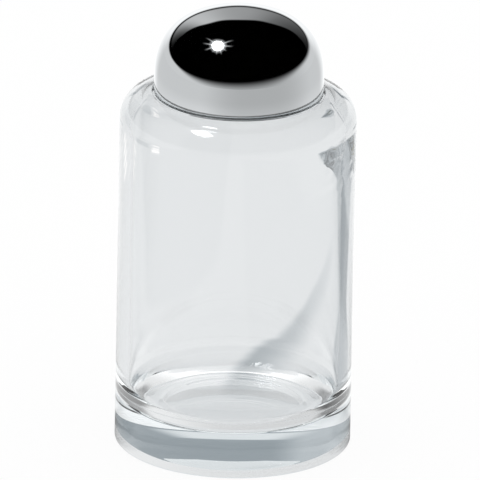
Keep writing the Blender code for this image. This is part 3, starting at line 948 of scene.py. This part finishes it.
world = bpy.data.worlds.new("studio")
bpy.context.scene.world = world
world.use_nodes = True
tree = world.node_tree
direction = add(tree, "ShaderNodeTexCoord").outputs["Generated"]
right, back, up = around(tree, direction)
top_edge = total(tree, product(tree, right, 0.045), 0.20)
bottom_edge = rise(tree, back, -1.0, 0.3, -0.08, 0.12)
fade = rise(tree, up, bottom_edge, top_edge)
paper_light = product(tree, paper(tree, right, back), maths(tree, "SUBTRACT", 1.0, fade))
print("paper", PAPER)

# %% [markdown]
# Behind and above stands a grey board, which the crown of the dome shows as a crescent, bright
# on the left and dim on the right. Its upper edge and its brightness are two curves over the
# place from left to right.

# %% Grey board
BOARD_TOP = [(0.10, 0.25), (0.16, 0.50), (0.30, 0.60), (0.40, 0.60), (0.50, 0.46),
             (0.60, 0.58), (0.72, 0.56), (0.84, 0.42), (0.90, 0.25)]
BOARD_LIGHT = [(0.12, 0.0), (0.20, 0.08), (0.28, 0.34), (0.37, 0.72),
               (0.48, 0.42), (0.60, 0.14), (0.78, 0.05), (0.90, 0.0)]

sideways = total(tree, product(tree, right, 0.5), 0.5)
under_top = maths(tree, "SUBTRACT", up, stops(tree, sideways, BOARD_TOP))
board_light = product(
    tree, stops(tree, sideways, BOARD_LIGHT), rise(tree, up, 0.20, 0.26),
    rise(tree, under_top, -0.02, 0.02, 1.0, 0.0), rise(tree, back, 0.50, 0.66),
)
print("board with", len(BOARD_LIGHT), "stops")

# %% [markdown]
# One small lamp hangs almost overhead, a bit to the left. It is written into the world for the
# steel and the glass only, and shows on polished steel as a white point with a soft glow. The
# short rays round it are a painted star: a cosine of the angle round the lamp, raised to a high
# power so that they are thin.

# %% Lamp overhead
LAMP = (-0.349, -0.018)
LAMP_ACROSS = 0.108
LAMP_ALONG = 0.215
LAMP_POWER = 20.0
RAYS = 5.5
RAY_THINNESS = 16.0
RAY_LIGHT = 0.75
RAY_REACH = 2.0
GLOW_REACH = 1.5
GLOW_LIGHT = 0.5

x, y, _ = add(tree, "ShaderNodeSeparateXYZ", {"Vector": direction}).outputs
off_x = maths(tree, "SUBTRACT", x, LAMP[0])
off_y = maths(tree, "SUBTRACT", y, LAMP[1])
across = maths(tree, "DIVIDE", maths(tree, "SUBTRACT", off_x, product(tree, off_y, 0.215)), LAMP_ACROSS)
along = maths(tree, "DIVIDE", total(tree, off_y, product(tree, off_x, 0.25)), LAMP_ALONG)
reach = length(tree, across, along)
core = rise(tree, reach, 0.7, 1.0, LAMP_POWER, 0.0)
glow = rise(tree, reach, 0.9, GLOW_REACH, GLOW_LIGHT, 0.0)
heading = maths(tree, "ARCTAN2", along, across)
spokes = maths(tree, "COSINE", product(tree, heading, RAYS))
spokes = maths(tree, "POWER", maths(tree, "ABSOLUTE", spokes), RAY_THINNESS)
uneven = total(tree, product(tree, maths(tree, "COSINE", product(tree, heading, 2.0)), 0.5), RAY_REACH)
uneven = total(tree, product(tree, maths(tree, "SINE", product(tree, heading, 3.3)), 0.35), uneven)
rays = product(tree, spokes, rise(tree, reach, 0.8, uneven, RAY_LIGHT, 0.0))
lamp_light = maths(tree, "MAXIMUM", core, total(tree, rays, glow))
lamp_light = product(tree, lamp_light, rise(tree, up, 0.3, 0.5))
mirrored = total(tree, paper_light, board_light, lamp_light)
print("lamp power", LAMP_POWER)

# %% [markdown]
# ## What the glass shows
# Light that has passed through the bottle comes from the table, the paper and the darker room
# above it. Everything else, such as a matt surface, is lit by an even white, at which a colour
# looks as it is written. The camera itself sees plain white. Light Path tells the rays apart.

# %% World
GLASS_PAPER = 0.80
GLASS_ROOM = 0.36
GLASS_ROOM_LEFT = 0.19
GLASS_LAMP = 0.7
MATT_LIGHT = 1.0

room = rise(tree, right, -0.50, -0.22, GLASS_ROOM + GLASS_ROOM_LEFT, GLASS_ROOM)
over_paper = rise(tree, up, 0.286, 0.312)
through = total(tree, product(tree, over_paper, room), product(tree, maths(tree, "SUBTRACT", 1.0, over_paper), GLASS_PAPER))
lamp_in_glass = product(tree, lamp_light, GLASS_LAMP)
through = add(tree, "ShaderNodeVectorMath", {0: slate(tree, through), 1: lamp_in_glass}, operation="ADD").outputs[0]
path = add(tree, "ShaderNodeLightPath").outputs
seen = chosen(tree, path["Is Glossy Ray"], MATT_LIGHT, mirrored)
seen = chosen(tree, path["Is Transmission Ray"], seen, through)
seen = chosen(tree, path["Is Camera Ray"], seen, 1.0)
tree.links.new(seen, tree.nodes["Background"].inputs["Color"])
print("world ready")

# %% [markdown]
# ## The table
# A sheet of white paper. It glows a little for the camera, the glass and the steel, which keeps
# the background white, and the rest of it is matt, so that the bottle still drops its shadow.
# The glow that the steel and the glass see is not even, because painted light and shade lie in it
# that the camera never sees. Reflections see the paper's brightness by direction, painted brighter
# near the bottle, with a painted shade beside and under the foot. Through the glass it shows a
# painted dark patch with streaks, a painted shadow band, a painted dark ring, a painted grey patch
# on the left and rows of painted highlights.

# %% Table
TABLE_HALF_SIZE = 30.0
TABLE_GLOW = 0.93
TABLE_MATT = 0.97
TABLE_GLASS = 0.82
# From here on, values of painted light and shade that only the glass and the steel see on the table.
PAINT_START = -0.05
PAINT_LENGTH = 0.45
PAINT_SCALE = 0.1
PATCH_SOFT = 5 * MM
PATCH_EDGE = [(0.0, 0.30), (0.178, 0.42), (0.26, 0.50), (0.31, 0.85), (0.42, 0.95), (0.52, 1.05), (0.549, 0.88),
             (0.571, 0.61), (0.591, 0.52), (0.622, 0.52), (0.658, 0.64), (0.685, 0.78), (1.0, 0.90)]
PATCH_LIGHT = [(0.0, 0.50), (0.24, 0.52), (0.29, 0.34), (0.42, 0.30), (0.445, 0.55), (0.525, 0.45),
              (0.545, 0.26), (0.59, 0.16), (0.62, 0.34), (0.655, 0.62), (0.685, 0.82), (1.0, 0.82)]
PATCH_END = (200 * MM, 240 * MM)
STREAK_SCALE = 150.0
STREAK_LIGHT = 1.8
BAND_LINE = [(0.0, -0.30), (0.167, -0.02), (0.204, 0.06), (0.26, 0.13), (0.311, 0.24),
             (0.358, 0.37), (0.40, 0.50), (0.444, 0.62), (1.0, 2.0)]
PAINTED_RING_LIGHT = (-0.30, -0.60)
LEFT_PATCH_LIGHT = -0.14
GLINT_PITCH = 11 * MM
GLINT_LIGHT = 0.6
UNDER_SHADE = 0.62

table_top = bmesh.new()
bmesh.ops.create_grid(table_top, x_segments=1, y_segments=1, size=TABLE_HALF_SIZE)
table = solid(table_top, "table")
table_paper = bpy.data.materials.new("table_paper")
table_paper.use_nodes = True
tree = table_paper.node_tree
tree.nodes.clear()
place = add(tree, "ShaderNodeTexCoord").outputs["Object"]
right, back, _ = around(tree, place)
path = add(tree, "ShaderNodeLightPath").outputs
x, y, _ = add(tree, "ShaderNodeSeparateXYZ", {"Vector": place}).outputs
distance = length(tree, x, y)
# Painted light for reflections: the table shows the paper's brightness by direction, painted brighter near the bottle.
near = rise(tree, distance, 0.12, 0.42, 1.20, 0.94)
aside = maths(tree, "ABSOLUTE", x)
# A painted shade on the table beside and under the foot, seen only in reflections off the steel and inside the glass.
painted_foot_shade = product(
    tree, rise(tree, aside, 18 * MM, 24 * MM), rise(tree, aside, 46 * MM, 52 * MM, 1.0, 0.0),
    rise(tree, y, -12 * MM, -5 * MM), rise(tree, y, 12 * MM, 20 * MM, 1.0, 0.0), -UNDER_SHADE,
)
steel_light = total(tree, product(tree, paper(tree, right, back), near), painted_foot_shade)
seen = chosen(tree, path["Is Glossy Ray"], 1.0, steel_light)

# A painted dark patch on the table, seen only through the glass: its edge and brightness are curves over the depth
# behind the bottle.
depth = maths(tree, "DIVIDE", maths(tree, "SUBTRACT", y, PAINT_START), PAINT_LENGTH)
edge = product(tree, stops(tree, depth, PATCH_EDGE), PAINT_SCALE)
on_patch = rise(tree, maths(tree, "SUBTRACT", x, edge), -PATCH_SOFT, PATCH_SOFT)
painted_patch = stops(tree, depth, PATCH_LIGHT, "LINEAR")
# Painted streaks of light and shade inside the dark patch, seen only through the glass.
painted_streaks = maths(tree, "SUBTRACT", noise_field(tree, STREAK_SCALE, 2.0, (0.15, 1, 1)), 0.5)
painted_streaks = product(tree, painted_streaks, rise(tree, depth, 0.53, 0.56), rise(tree, depth, 0.66, 0.72, 1.0, 0.0), STREAK_LIGHT)
painted_patch = product(tree, total(tree, painted_patch, painted_streaks, -TABLE_GLASS), rise(tree, x, *PATCH_END, 1.0, 0.0))
# A painted diagonal shadow band, seen only through the glass.
off_band = maths(tree, "SUBTRACT", x, product(tree, stops(tree, depth, BAND_LINE, "LINEAR"), PAINT_SCALE))
painted_band = product(
    tree, rise(tree, off_band, -5 * MM, 0.0), rise(tree, off_band, 0.0, 15 * MM, 1.0, 0.0),
    rise(tree, depth, 0.13, 0.18), rise(tree, depth, 0.18, 0.44, -0.36, -0.08), rise(tree, depth, 0.40, 0.46, 1.0, 0.0),
)
# A painted dark ring on the table far behind the bottle, seen only through the glass.
turned = maths(tree, "ABSOLUTE", right)
rim = product(
    tree, rise(tree, distance, 0.37, 0.40), rise(tree, distance, 0.52, 0.58, 1.0, 0.0),
    rise(tree, turned, 0.22, 0.27), rise(tree, turned, 0.44, 0.50, 1.0, 0.0),
    rise(tree, back, 0.0, 0.1), rise(tree, right, -0.2, 0.2, *PAINTED_RING_LIGHT),
)
left = product(tree, x, -1.0)
# A painted grey patch, left of the bottle and far behind it, seen only through the glass.
painted_left_patch = product(
    tree, rise(tree, left, 60 * MM, 66 * MM), rise(tree, left, 105 * MM, 120 * MM, 1.0, 0.0),
    rise(tree, y, 218 * MM, 228 * MM), rise(tree, y, 248 * MM, 258 * MM, 1.0, 0.0), LEFT_PATCH_LIGHT,
)
# Rows of painted highlights on the table, left of the bottle, seen only through the glass.
glint_rows = maths(tree, "COSINE", product(tree, y, math.pi / GLINT_PITCH))
glint_rows = maths(tree, "POWER", maths(tree, "ABSOLUTE", glint_rows), 4.0)
near_glints = product(
    tree, rise(tree, left, 47 * MM, 51 * MM), rise(tree, left, 56 * MM, 60 * MM, 1.0, 0.0),
    rise(tree, y, 212 * MM, 218 * MM), rise(tree, y, 252 * MM, 258 * MM, 1.0, 0.0),
)
far_glints = product(
    tree, rise(tree, left, 112 * MM, 120 * MM), rise(tree, left, 140 * MM, 150 * MM, 1.0, 0.0),
    rise(tree, y, 166 * MM, 172 * MM), rise(tree, y, 218 * MM, 224 * MM, 1.0, 0.0),
)
painted_glints = product(tree, total(tree, near_glints, far_glints), glint_rows, GLINT_LIGHT)
# What the glass sees on the table: the even paper with the painted light and shade above.
glass_light = total(tree, product(tree, on_patch, painted_patch), painted_left_patch, painted_glints, painted_band, rim, TABLE_GLASS)
seen = chosen(tree, path["Is Transmission Ray"], seen, slate(tree, glass_light))
glow = add(tree, "ShaderNodeEmission", {"Color": seen, "Strength": 1.0})
matt = add(tree, "ShaderNodeBsdfDiffuse", {"Color": (TABLE_MATT, TABLE_MATT, TABLE_MATT, 1)})
straight = maths(tree, "MAXIMUM", path["Is Camera Ray"], path["Is Glossy Ray"])
straight = maths(tree, "MAXIMUM", straight, path["Is Transmission Ray"])
share = product(tree, straight, TABLE_GLOW)
blend = add(tree, "ShaderNodeMixShader", {0: share, 1: matt.outputs[0], 2: glow.outputs[0]})
add(tree, "ShaderNodeOutputMaterial", {"Surface": blend.outputs[0]})
table.data.materials.append(table_paper)
print("table ready")
